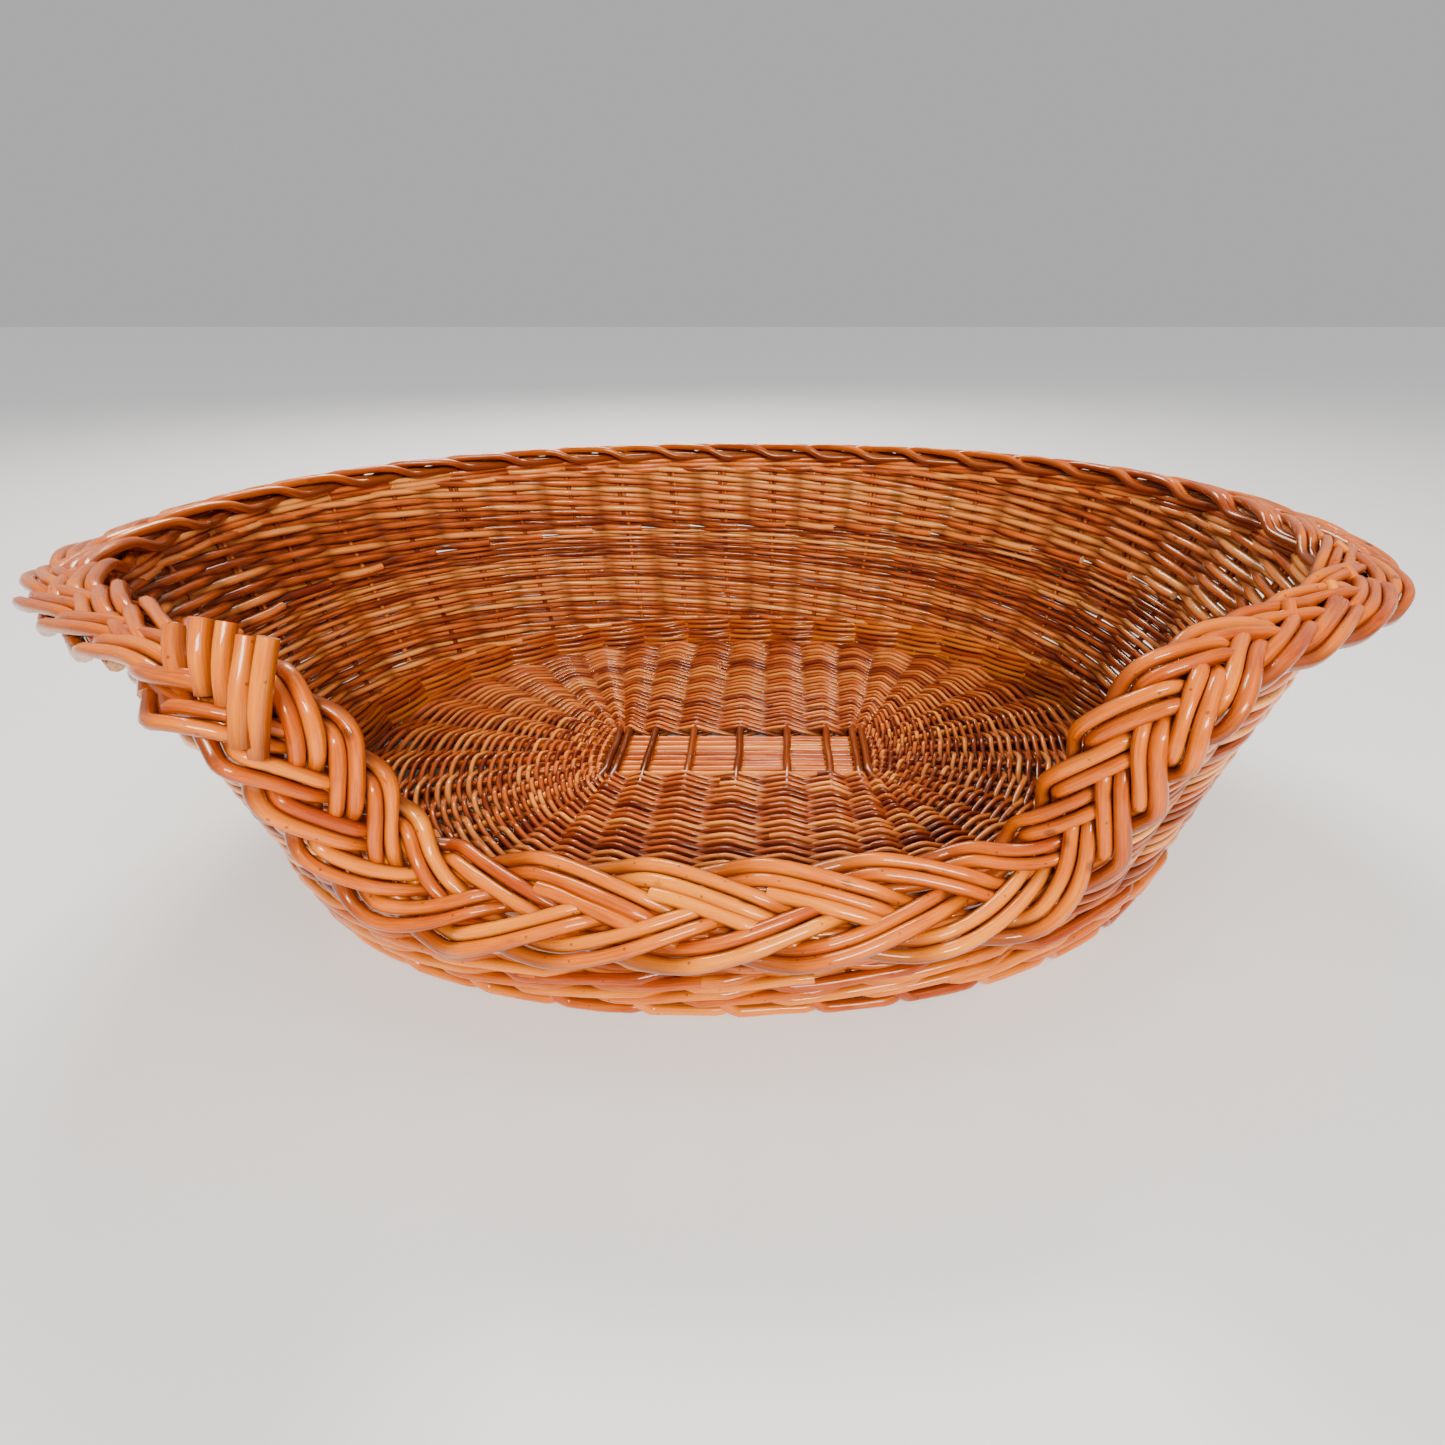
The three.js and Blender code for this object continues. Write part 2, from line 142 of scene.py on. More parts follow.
# The border's line, as places along the wall and heights, from the middle of the front all round
SILL_R, RIM_R = (ARM_RIGHT[0], SILL_HEIGHT), (ARM_RIGHT[1], RIM_HEIGHT)
RIM_L, SILL_L = (GIRTH + ARM_LEFT[1], RIM_HEIGHT), (GIRTH + ARM_LEFT[0], SILL_HEIGHT)
BENDS = [
    bend((0, SILL_HEIGHT), SILL_R, RIM_R, FOOT_BEND),
    bend(SILL_R, RIM_R, RIM_L, HEAD_BEND),
    bend(RIM_R, RIM_L, SILL_L, HEAD_BEND),
    bend(RIM_L, SILL_L, (GIRTH, SILL_HEIGHT), FOOT_BEND),
]
line = np.concatenate([[(0, SILL_HEIGHT)], *BENDS, [(GIRTH, SILL_HEIGHT)]])
line_lengths = np.concatenate([[0], np.cumsum(np.hypot(*np.diff(line, axis=0).T))])
LINE = line_lengths[-1]
FINE = np.linspace(0, LINE, LINE_STEPS + 1)
fine_along = np.interp(FINE, line_lengths, line[:, 0])
fine_height = np.interp(FINE, line_lengths, line[:, 1])
fine_rise = (fine_height - SILL_HEIGHT) / (RIM_HEIGHT - SILL_HEIGHT)
BEND_LENGTHS = [np.interp(b[BEND_POINTS // 2, 0], line[:, 0], line_lengths) for b in BENDS]


def smooth(low, high, x):
    x = np.clip((x - low) / (high - low), 0, 1)
    return x * x * (3 - 2 * x)


def ease(values, width):
    """Running mean round the closed border line."""
    pad = width // 2
    ring = np.concatenate([values[-pad - 1:-1], values, values[1:pad + 1]])
    return np.convolve(ring, np.ones(2 * pad + 1) / (2 * pad + 1), "valid")


class Border:
    """The plaited border along its line: its middle, its width, and the ways across and through it."""

    def __init__(self):
        points, normal = wall(fine_along, fine_height)
        closed = np.concatenate([points[-2:-1], points, points[1:2]])
        tangent = closed[2:] - closed[:-2]
        tangent /= np.linalg.norm(tangent, axis=1)[:, None]
        up = np.cross(normal, tangent)
        up /= np.linalg.norm(up, axis=1)[:, None]
        out = np.cross(tangent, up)
        steep = np.abs(tangent[:, 2]) * np.sqrt(np.clip(fine_rise, 0, 1))
        degrees = ease(TILT_SILL + (TILT_RIM - TILT_SILL) * fine_rise + TILT_ARM * steep, TILT_EASING)
        tilt = np.radians(degrees)[:, None]
        away = np.minimum(fine_along, GIRTH - fine_along)
        corner = smooth(CORNER_FROM, CORNER_FULL, away) * (1 - smooth(CORNER_FADING, CORNER_TO, away))
        widening = (PLAIT_WIDTH_RIM - PLAIT_WIDTH_SILL) * fine_rise
        self.width = PLAIT_WIDTH_SILL + widening - CORNER_NARROWER * corner
        self.across = np.cos(tilt) * out - np.sin(tilt) * up
        self.through = np.sin(tilt) * out + np.cos(tilt) * up
        outward = self.width / 2 - PLAIT_INSIDE - CORNER_INSIDE * corner
        self.centre = points + self.across * outward[:, None]

    def sample(self, length, values):
        place = np.mod(length, LINE)
        if values.ndim == 1:
            return np.interp(place, FINE, values)
        return np.stack([np.interp(place, FINE, values[:, i]) for i in range(3)], -1)

    def at(self, length, across, through):
        """Points of the plait and its upward side. `across` is a share of its half width."""
        centre, side, face = (self.sample(length, v) for v in (self.centre, self.across, self.through))
        half = self.sample(length, self.width) / 2
        return centre + side * (across * half)[:, None] + face * through[:, None], face


border = Border()

# The woven edge keeps a seat's depth away from every point of the border's line
seat_along = np.concatenate([fine_along, fine_along - GIRTH, fine_along + GIRTH])
seat_slope = np.tile(np.abs(np.gradient(fine_height, FINE)), 3)
seat_depth = SEAT_RIM + SEAT_SILL * (1 - np.tile(fine_rise, 3)) + SEAT_ARM * seat_slope
seat_height = np.tile(fine_height, 3)
top_along = np.linspace(0, GIRTH, TOP_STEPS + 1)
top_height = np.array([
    np.min(seat_height[near] - np.sqrt(seat_depth[near] ** 2 - (seat_along[near] - a) ** 2))
    for a in top_along
    for near in [np.abs(seat_along - a) < seat_depth]
])


def wall_top(along):
    """Height of the woven wall's edge under the plait."""
    return np.interp(np.mod(along, GIRTH), top_along, top_height)


# ---- rods --------------------------------------------------------------------------------------------
WAVES = 4  # sine waves in a random wobble
THICKNESS_WOBBLE, THICKNESS_REACH = 0.045, 40
BOW, BOW_REACH = 0.22, 60  # how far a rod strays from its path
END_RING = 0.12  # a second ring this share of a step from each end keeps the cut edge crisp
SHORTEST_ROD = 3
# Painted shade on each rod's flanks, where it lies against its neighbours; a higher power keeps it closer to
# the flanks
CREASE_SHADE_POWER = 1.3
GRAIN_OFFSETS = 900  # each rod has the grain of a place of its own, within a cube of this size
# A rod's cell in the bake's UV map, in shares of the cell: the start and extent of the strip of its sides,
# and the middles and half sizes of its two cut ends
SIDES_U, SIDES_V = (0.03, 0.88), (0.1, 0.8)
CUT_MIDDLES, CUT_HALVES = ((0.955, 0.28), (0.955, 0.72)), (0.02, 0.18)


def wander(x, reach):
    """Smooth random wobble along x, with a wavelength near `reach`."""
    total = 0 * x
    for _ in range(WAVES):
        total = total + np.sin(2 * np.pi * x / (reach * rng.uniform(0.6, 1.8)) + rng.uniform(0, 2 * np.pi))
    return total / WAVES**0.5


def unit(vectors):
    return vectors / (np.linalg.norm(vectors, axis=1)[:, None] + 1e-12)


def rod_faces(rings, k):
    """Quads of a rod's sides and triangles of its two cut ends, whose middle points follow the rings."""
    i, j = np.meshgrid(np.arange(rings - 1), np.arange(k), indexing="ij")
    after = (j + 1) % k
    quads = np.stack([i * k + j, i * k + after, (i + 1) * k + after, (i + 1) * k + j], -1).reshape(-1, 4)
    j = np.arange(k)
    after = (j + 1) % k
    last = (rings - 1) * k
    first_cap = np.stack([np.full(k, rings * k), after, j], -1)
    last_cap = np.stack([np.full(k, rings * k + 1), last + j, last + after], -1)
    return quads, first_cap, last_cap


def rod_uvs(length, cos, sin):
    """One rod's UVs in its own cell, in the order of its faces."""
    k = len(cos)
    u = SIDES_U[0] + SIDES_U[1] * (length / length[-1])
    v = SIDES_V[0] + SIDES_V[1] * np.arange(k + 1) / k
    a, b = np.meshgrid(np.arange(len(length) - 1), np.arange(k), indexing="ij")
    corners = [(u[a], v[b]), (u[a], v[b + 1]), (u[a + 1], v[b + 1]), (u[a + 1], v[b])]
    uvs = [np.stack([np.stack(corner, -1) for corner in corners], -2).reshape(-1, 2)]
    j = np.arange(k)
    for middle in CUT_MIDDLES:
        disc = np.stack([CUT_HALVES[0] * cos, CUT_HALVES[1] * sin], -1) + middle
        fan = np.stack([np.broadcast_to(np.array(middle), (k, 2)), disc[(j + 1) % k], disc[j]], 1)
        uvs.append(fan.reshape(-1, 2))
    return np.concatenate(uvs)


class Rods:
    """Tapered round rods gathered into one mesh, each with a tone, grain and UV cell of its own."""

    def __init__(self, sides=8, crease_shade=0.8):
        self.sides = sides
        # Painted shade on a rod's flanks, where it lies against its neighbours in the weave
        self.crease_shade = crease_shade  # how dark a rod's flanks are
        self.rods = []

    def add(self, points, radius, up, tone=None, shade=None):
        points = np.asarray(points, float)
        steps = np.linalg.norm(np.diff(points, axis=0), axis=1)
        length = np.concatenate([[0], np.cumsum(steps)])
        if len(points) < 3 or length[-1] < SHORTEST_ROD:
            return
        thickness = 1 + THICKNESS_WOBBLE * wander(length, THICKNESS_REACH)
        radius = np.broadcast_to(radius, len(points)) * thickness
        up = np.broadcast_to(up, points.shape)
        points = points + up * (BOW * wander(length, BOW_REACH))[:, None]
        # Painted shade along the rod, from 0 for none to 1 for the darkest
        shade = np.zeros(len(points)) if shade is None else np.broadcast_to(shade, len(points))
        second_ring = points[:1] + (points[1] - points[0]) * END_RING
        last_but_one = points[-1:] - (points[-1] - points[-2]) * END_RING
        points = np.concatenate([points[:1], second_ring, points[1:-1], last_but_one, points[-1:]])
        index = np.concatenate([[0, 0], np.arange(1, len(steps)), [len(steps), len(steps)]])
        tangent = unit(np.gradient(points, axis=0))
        first = unit(up[index] - tangent * np.sum(up[index] * tangent, 1)[:, None])
        self.rods.append({
            "points": points,
            "radius": radius[index],
            "first": first,
            "second": np.cross(tangent, first),
            "length": length[index],
            "tone": rng.uniform(0, 1) if tone is None else tone,
            "shade": shade[index],
        })

    def uv_grid(self):
        """Columns and rows of UV cells, for cells about as long and wide as the rods are long and round."""
        count = len(self.rods)
        mean_length = np.mean([r["length"][-1] for r in self.rods])
        mean_round = np.mean([r["radius"].mean() for r in self.rods]) * 2 * np.pi
        columns = max(1, round((count * mean_round / mean_length) ** 0.5))
        return columns, -(-count // columns)

    def mesh(self, name):
        k = self.sides
        turn = np.arange(k) * 2 * np.pi / k + np.pi / k
        cos, sin = np.cos(turn), np.sin(turn)
        # Painted shade in the creases: the flanks, turned away from the rod's up side, are darkened
        crease_shade = self.crease_shade * (1 - np.abs(cos)) ** CREASE_SHADE_POWER
        columns, rows = self.uv_grid()
        cell = np.array([1 / columns, 1 / rows])
        verts, tones, grains, shades, loops, sizes, uvs, cuts = ([] for _ in range(8))
        offset = 0
        for number, rod in enumerate(self.rods):
            rings = len(rod["points"])
            reach = rod["radius"][:, None, None]
            ring = rod["first"][:, None] * cos[None, :, None] + rod["second"][:, None] * sin[None, :, None]
            verts += [(rod["points"][:, None] + reach * ring).reshape(-1, 3), rod["points"][[0, -1]]]
            tones.append(np.full(rings * k + 2, rod["tone"]))
            along = np.repeat(rod["length"][:, None], k, 1)
            sides = np.stack([reach[..., 0] * cos, reach[..., 0] * sin, along], -1).reshape(-1, 3)
            ends = np.array([[0, 0, rod["length"][0]], [0, 0, rod["length"][-1]]])
            grains.append(np.concatenate([sides, ends]) + rng.uniform(0, GRAIN_OFFSETS, 3))
            shades += [np.clip(rod["shade"][:, None] + crease_shade, 0, 1).ravel(), rod["shade"][[0, -1]]]
            quads, first_cap, last_cap = rod_faces(rings, k)
            loops += [(faces + offset).ravel() for faces in (quads, first_cap, last_cap)]
            sizes += [np.full(len(quads), 4), np.full(2 * k, 3)]
            cuts += [np.zeros(len(quads)), np.ones(2 * k)]
            low = np.array([number % columns / columns, number // columns / rows])
            uvs.append(low + cell * rod_uvs(rod["length"], cos, sin))
            offset += rings * k + 2
        data = bpy.data.meshes.new(name)
        places = (np.concatenate(verts) + np.array([0, CENTRE_Y, 0])) * MM
        index, size, cut = np.concatenate(loops), np.concatenate(sizes), np.concatenate(cuts)
        data.vertices.add(len(places))
        data.vertices.foreach_set("co", places.astype(np.float32).ravel())
        data.loops.add(len(index))
        data.loops.foreach_set("vertex_index", index.astype(np.int32))
        data.polygons.add(len(size))
        starts = np.concatenate([[0], np.cumsum(size)[:-1]])
        data.polygons.foreach_set("loop_start", starts.astype(np.int32))
        data.polygons.foreach_set("use_smooth", cut == 0)
        data.update(calc_edges=True)
        uv = data.uv_layers.new(name="OFBake")
        uv.data.foreach_set("uv", np.concatenate(uvs).astype(np.float32).ravel())
        for key, values in (("tone", tones), ("shade", shades)):
            layer = data.attributes.new(key, "FLOAT", "POINT")
            layer.data.foreach_set("value", np.concatenate(values).astype(np.float32))
        layer = data.attributes.new("grain", "FLOAT_VECTOR", "POINT")
        layer.data.foreach_set("vector", (np.concatenate(grains) * MM).astype(np.float32).ravel())
        layer = data.attributes.new("cut", "FLOAT", "FACE")
        layer.data.foreach_set("value", cut.astype(np.float32))
        return data


# ---- willow ------------------------------------------------------------------------------------------
# Scales of the marks, for each metre of a rod's own grain coordinates
STREAK_SCALE, BLOTCH_SCALE, KNOT_SCALE, SPECK_SCALE, FIBRE_SCALE = 900.0, 70.0, 62.0, 150.0, 1400.0
# How the marks are drawn out along the rod: 1 is round, less is longer
STREAK_STRETCH, BLOTCH_STRETCH, KNOT_STRETCH = 0.06, 0.35, 0.55
STREAK_STRENGTH, BLOTCH_STRENGTH, KNOT_STRENGTH, SPECK_STRENGTH = 0.85, 1.05, 0.75, 0.65
MIDDLE_TONE = 0.45
# Painted shade: how strongly the shade attribute darkens a rod, and how dark that shade is, as a share of its
# darkest tone
SHADE_STRENGTH, SHADE_DARKNESS = 0.86, 0.32
CUT_STRENGTH, CUT_ROUGHER = 0.85, 0.3
MARK_COLOUR = (0.075, 0.022, 0.008, 1)
CUT_DARK, CUT_LIGHT = (0.42, 0.2, 0.09), (0.72, 0.46, 0.26)
VARNISH = {
    "Coat Weight": 0.5, "Coat Roughness": 0.05, "Specular IOR Level": 0.28,
    "Specular Tint": (1.0, 0.72, 0.45, 1), "Coat Tint": (1.0, 0.86, 0.68, 1),
}
WHITE, BLACK = (1, 1, 1), (0, 0, 0)


class Nodes:
    """Short calls for building a node tree."""

    def __init__(self, material):
        self.tree = material.node_tree

    def fill(self, node, values):
        for key, value in values.items():
            if isinstance(value, bpy.types.NodeSocket):
                self.tree.links.new(value, node.inputs[key])
            else:
                node.inputs[key].default_value = value
        return node

    def add(self, kind, values, **settings):
        node = self.tree.nodes.new(kind)
        for key, value in settings.items():
            setattr(node, key, value)
        return self.fill(node, values)

    def attribute(self, name, output="Fac"):
        return self.add("ShaderNodeAttribute", {}, attribute_name=name).outputs[output]

    def ramp(self, value, stops):
        node = self.add("ShaderNodeValToRGB", {"Fac": value})
        ramp = node.color_ramp
        while len(ramp.elements) < len(stops):
            ramp.elements.new(0.5)
        for element, (place, colour) in zip(ramp.elements, stops):
            element.position = place
            element.color = (*colour, 1)
        return node.outputs["Color"]

    def math(self, operation, a, b, c=0.0):
        return self.add("ShaderNodeMath", {0: a, 1: b, 2: c}, operation=operation).outputs[0]

    def mix(self, factor, a, b):
        # Inputs 0, 6 and 7 of this node are its factor and its two colours
        return self.add("ShaderNodeMix", {0: factor, 6: a, 7: b}, data_type="RGBA").outputs[2]

    def noise(self, vector, scale, detail):
        values = {"Vector": vector, "Scale": scale, "Detail": detail, "Roughness": 0.55}
        return self.add("ShaderNodeTexNoise", values).outputs["Fac"]

    def stretched(self, grain, along):
        """Grain coordinates that draw marks out along the rod."""
        values = {0: grain, 1: (1, 1, along)}
        return self.add("ShaderNodeVectorMath", values, operation="MULTIPLY").outputs[0]

    def spots(self, vector, scale, full, none):
        """Round spots, full strength up to one distance from their middles and gone at another."""
        cells = self.add("ShaderNodeTexVoronoi", {"Vector": vector, "Scale": scale, "Randomness": 1.0})
        return self.ramp(cells.outputs["Distance"], [(full, WHITE), (none, BLACK)])


def willow(name, dark, middle, light, roughness):
    """Varnished willow: a tone for each rod, streaks, knots, painted shade in creases and under crossings,
    and pale cut ends.
    """
    material = bpy.data.materials.new(name)
    material.use_nodes = True
    material.node_tree.nodes.clear()
    n = Nodes(material)
    shade, cut, grain = n.attribute("shade"), n.attribute("cut"), n.attribute("grain", "Vector")
    streaks = n.noise(n.stretched(grain, STREAK_STRETCH), STREAK_SCALE, 4.0)
    blotches = n.noise(n.stretched(grain, BLOTCH_STRETCH), BLOTCH_SCALE, 3.0)
    knots = n.spots(n.stretched(grain, KNOT_STRETCH), KNOT_SCALE, 0.05, 0.13)
    specks = n.spots(grain, SPECK_SCALE, 0.07, 0.12)
    spread = n.math("MULTIPLY_ADD", n.math("SUBTRACT", blotches, 0.5), BLOTCH_STRENGTH, n.attribute("tone"))
    spread = n.math("MULTIPLY_ADD", n.math("SUBTRACT", streaks, 0.5), STREAK_STRENGTH, spread)
    colour = n.ramp(spread, [(0.0, dark), (MIDDLE_TONE, middle), (1.0, light)])
    # Painted shade, where the shade attribute says a rod lies in a crease or under another
    crease_shade = (*(SHADE_DARKNESS * c for c in dark), 1)
    colour = n.mix(n.math("MULTIPLY", shade, SHADE_STRENGTH), colour, crease_shade)
    knot_marks = n.math("MULTIPLY", knots, KNOT_STRENGTH)
    speck_marks = n.math("MULTIPLY", specks, SPECK_STRENGTH)
    colour = n.mix(n.math("MAXIMUM", knot_marks, speck_marks), colour, MARK_COLOUR)
    pale = n.ramp(n.noise(grain, FIBRE_SCALE, 2.0), [(0.3, CUT_DARK), (0.75, CUT_LIGHT)])
    colour = n.mix(n.math("MULTIPLY", cut, CUT_STRENGTH), colour, pale)
    rough = n.math("MULTIPLY_ADD", streaks, 0.16, roughness - 0.08)
    rough = n.math("MULTIPLY_ADD", cut, CUT_ROUGHER, rough)
    height = n.math("MULTIPLY_ADD", knots, 1.2, n.math("MULTIPLY_ADD", blotches, 0.8, streaks))
    bump = n.add("ShaderNodeBump", {"Height": height, "Strength": 0.55, "Distance": 0.0006})
    values = {"Base Color": colour, "Roughness": rough, "Normal": bump.outputs["Normal"], **VARNISH}
    shader = n.add("ShaderNodeBsdfPrincipled", values)
    n.add("ShaderNodeOutputMaterial", {"Surface": shader.outputs[0]})
    return material


BASE_WILLOW = willow("base_willow", (0.15, 0.014, 0.001), (0.6, 0.115, 0.015), (0.95, 0.32, 0.06), 0.3)
STICK_WILLOW = willow("stick_willow", (0.42, 0.06, 0.002), (0.76, 0.16, 0.006), (0.93, 0.3, 0.03), 0.3)
DARK_STICK_WILLOW = willow("dark_stick_willow", (0.05, 0.004, 0.0), (0.115, 0.014, 0.001),
                           (0.22, 0.036, 0.003), 0.3)
WALL_WILLOW = willow("wall_willow", (0.17, 0.016, 0.001), (0.7, 0.152, 0.022), (1.0, 0.4, 0.09), 0.3)
BORDER_WILLOW = willow("border_willow", (0.42, 0.055, 0.0), (0.76, 0.17, 0.0), (1.0, 0.33, 0.006), 0.28)
FOOT_WILLOW = willow("foot_willow", (0.35, 0.042, 0.0), (0.64, 0.13, 0.001), (0.88, 0.25, 0.008), 0.28)


def piece(name, rods, material, nodes):
    ob = bpy.data.objects.new(name, rods.mesh(name))
    bpy.context.scene.collection.objects.link(ob)
    ob.data.materials.append(material)
    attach(ob, "root")
    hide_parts(*nodes)


# ---- base --------------------------------------------------------------------------------------------
WINDOW_X, WINDOW_Y = 101.0, 28.0  # half sizes of the window
SEAM_Y = 101.0  # where the second band of the weave begins
RIM_X, RIM_Y = 298.0, 211.0
WEAVE_Z = 11.6
LONG_COUNT, LONG_PITCH, LONG_RADIUS, LONG_Z = 8, 7.15, 3.2, 8.6
LONG_TIP = 0.72  # share of its radius that a long stick keeps at the rim
CROSS_RADIUS = 3.2
CROSS_Z = LONG_Z + LONG_RADIUS + CROSS_RADIUS + 0.2
CORNER_ROD = 0.85  # radius of the rods on the corner lines, as a share of a cross stick's
# The base has one line for each end of a cross stick, and some more at both ends of the window. They count
# from the middle of the front, so the first and last of them are the front's.
CROSS = count_nodes("base_cross_stick_")
CROSS_LEFT = CROSS // 2
CROSS_RIGHT = CROSS - CROSS_LEFT
END_LINES = 10
BASE_LINES = 2 * CROSS + 2 * END_LINES
CLOSE_UP = 0.14  # lines are this share closer at the rim's front and back, and wider at its ends
LINE_POINTS = 26  # along a stick from the window to the rim
STICK_SHARES = np.linspace(0.04, 0.97, LINE_POINTS)

rim_measure = Measure(RIM_X, RIM_Y)
cross_x = WINDOW_X * np.sin(np.linspace(-np.pi / 2, np.pi / 2, CROSS))
end_x = np.full(END_LINES, WINDOW_X + 2)
end_y = (np.arange(END_LINES) - (END_LINES - 1) / 2) * (2 * WINDOW_Y / END_LINES)
# Where each line leaves the window
window_points = np.concatenate([
    np.stack([cross_x[CROSS_LEFT:], np.full(CROSS_RIGHT, -WINDOW_Y)], -1),
    np.stack([end_x, end_y], -1),
    np.stack([cross_x[::-1], np.full(CROSS, WINDOW_Y)], -1),
    np.stack([-end_x, -end_y], -1),
    np.stack([cross_x[:CROSS_LEFT], np.full(CROSS_LEFT, -WINDOW_Y)], -1),
])


def base_point(line_number, share):
    """A point between the window (share 0) and the rim (share 1), on a line or between two lines."""
    q = np.mod(line_number, BASE_LINES)
    ring = np.concatenate([window_points, window_points[:1]])
    inner = np.stack([np.interp(q, np.arange(BASE_LINES + 1), ring[:, i]) for i in range(2)], -1)
    part = q / BASE_LINES - CLOSE_UP / (4 * np.pi) * np.sin(4 * np.pi * q / BASE_LINES)
    rim = np.stack(oval(rim_measure.angle(part * rim_measure.total), RIM_X, RIM_Y), -1)
    share = np.broadcast_to(share, q.shape)[:, None]
    return inner * (1 - share) + rim * share


def line_points(number, share=STICK_SHARES):
    """Points along one line of the base, from the window outward."""
    return base_point(np.full(LINE_POINTS, float(number)), share)


OVERLAP = 0.3  # how far a rod runs past the line or stake where it ends, in lines or stakes
ROD_FROM, ROD_TO = 7, 15  # lines that one rod of the base runs along
ROD_LEAST = 4  # a shorter rest is added to the rod before it
CREST = 0.975  # 1 is a sharp ridge, less is a rounder one
TWIST = 0.92  # how far a rod of a pair swings sideways, in radii
ROW_STEPS = 9  # points of a rod from line to line
NEAR = 0.01  # in lines, for the way along a row
# Strengths of the painted shade on the flanks of the base's rods and of the long sticks
BASE_CREASE_SHADE, LONG_CREASE_SHADE = 1.4, 1.7


def paired_row(rods, share, radius, lift):
    """One row of pairing: two rods twist half a turn between lines, so one crosses over every line."""
    for strand in (0, 1):
        first = rng.integers(0, BASE_LINES)
        done = 0
        while done < BASE_LINES:
            reach = min(int(rng.integers(ROD_FROM, ROD_TO)), BASE_LINES - done)
            if BASE_LINES - done - reach < ROD_LEAST:
                reach = BASE_LINES - done
            start = first + done
            q = np.linspace(start - OVERLAP, start + reach + OVERLAP, reach * ROW_STEPS + 6)
            turn = np.pi * (q + strand)
            flat = base_point(q, share)
            ahead = base_point(q + NEAR, share) - base_point(q - NEAR, share)
            side = np.stack([ahead[:, 1], -ahead[:, 0]], -1) / np.linalg.norm(ahead, axis=1)[:, None]
            swing = radius * TWIST * np.sin(turn)
            flat = flat + side * (swing + 0.35 * wander(q, 3.0))[:, None]
            crest = np.arcsin(CREST * np.cos(turn)) / np.arcsin(CREST)
            z = WEAVE_Z + lift * crest + 0.25 * wander(q, 4.0)
            points = np.concatenate([flat, z[:, None]], 1)
            size = radius * np.linspace(rng.uniform(0.98, 1.12), rng.uniform(0.82, 0.95), len(q))
            # Painted shade: a rod darkens where it dips under its partner between the lines
            rods.add(points, size, (0, 0, 1), shade=np.clip(0.45 - 0.9 * crest, 0, 1))
            done += reach


SEAM_SHARE = (SEAM_Y - WINDOW_Y) / (RIM_Y - WINDOW_Y)
EDGE_SHARE = 0.845
# Bands of the base: piece, CAD node, the shares where it begins and ends, the pitch of its rows, and the
# radius, lift and sides of its rods
BASE_BANDS = [
    ("weave_inner", "base_weave_inner", 0.012, SEAM_SHARE, 6.7, 2.05, 4.7, 7),
    ("weave_outer", "base_weave_outer", SEAM_SHARE, EDGE_SHARE, 7.0, 2.25, 4.8, 7),
    ("edge_rows", "base_edge_rows", EDGE_SHARE, 0.995, 9.0, 2.95, 4.7, 8),
]


def base_weave():
    for name, node, low, high, pitch, radius, lift, sides in BASE_BANDS:
        count = round((RIM_Y - WINDOW_Y) * (high - low) / pitch)
        rods = Rods(sides, BASE_CREASE_SHADE)
        for i in range(count):
            share = low + (high - low) * (i + 0.5) / count
            paired_row(rods, share, radius * rng.uniform(0.94, 1.06), lift)
        piece(name, rods, BASE_WILLOW, [node])


def long_sticks():
    """Light sticks side by side in the window, which spread into a fan under the weave at both ends."""
    rods = Rods(10, LONG_CREASE_SHADE)
    share = np.linspace(0.1, 0.97, LINE_POINTS)
    fan_z = np.interp(share, [0, 0.25], [LONG_Z, WEAVE_Z])[:, None]
    right_end = CROSS_RIGHT + 1
    left_end = CROSS_RIGHT + END_LINES + CROSS + 1
    for i in range(LONG_COUNT):
        y = (i - (LONG_COUNT - 1) / 2) * LONG_PITCH
        x = np.linspace(-WINDOW_X - 10, WINDOW_X + 10, 24)
        points = np.stack([x, y + 0.3 * wander(x, 120), LONG_Z + 0 * x], -1)
        # Lines of the right end are counted from the front, those of the left end from the back.
        right = np.concatenate([line_points(right_end + i, share), fan_z], 1)
        left = np.concatenate([line_points(left_end + LONG_COUNT - 1 - i, share), fan_z], 1)
        points = np.concatenate([left[::-1], points, right])
        taper = np.interp(np.abs(points[:, 0]), [100, 290], [1, LONG_TIP])
        rods.add(points, LONG_RADIUS * taper, (0, 0, 1))
    piece("long_sticks", rods, STICK_WILLOW, ["base_long_sticks"])


def cross_sticks():
    """Darker sticks over the long ones, along lines of the base, and thin rods on the corner lines."""
    rods = Rods(10)
    for i in range(CROSS):
        front = i - CROSS_LEFT + (BASE_LINES if i < CROSS_LEFT else 0)
        back = CROSS_RIGHT + END_LINES + CROSS - 1 - i
        y = np.linspace(-WINDOW_Y, WINDOW_Y, 9)
        middle = np.stack([cross_x[i] + 0.4 * wander(y, 60), y], -1)
        flat = np.concatenate([line_points(front)[::-1], middle, line_points(back)])
        z = np.interp(np.abs(flat[:, 1]), [WINDOW_Y, WINDOW_Y + 34], [CROSS_Z, WEAVE_Z])
        rods.add(np.concatenate([flat, z[:, None]], 1), CROSS_RADIUS, (0, 0, 1))
    right_back = CROSS_RIGHT + END_LINES - 1
    left_back = right_back + CROSS + 1
    for number in (CROSS_RIGHT, right_back, left_back, left_back + END_LINES - 1):
        points = np.concatenate([line_points(number), np.full((LINE_POINTS, 1), WEAVE_Z)], 1)
        rods.add(points, CROSS_RADIUS * CORNER_ROD, (0, 0, 1))
    nodes = [f"base_cross_stick_{i + 1}" for i in range(CROSS)]
    piece("cross_sticks", rods, DARK_STICK_WILLOW, nodes)


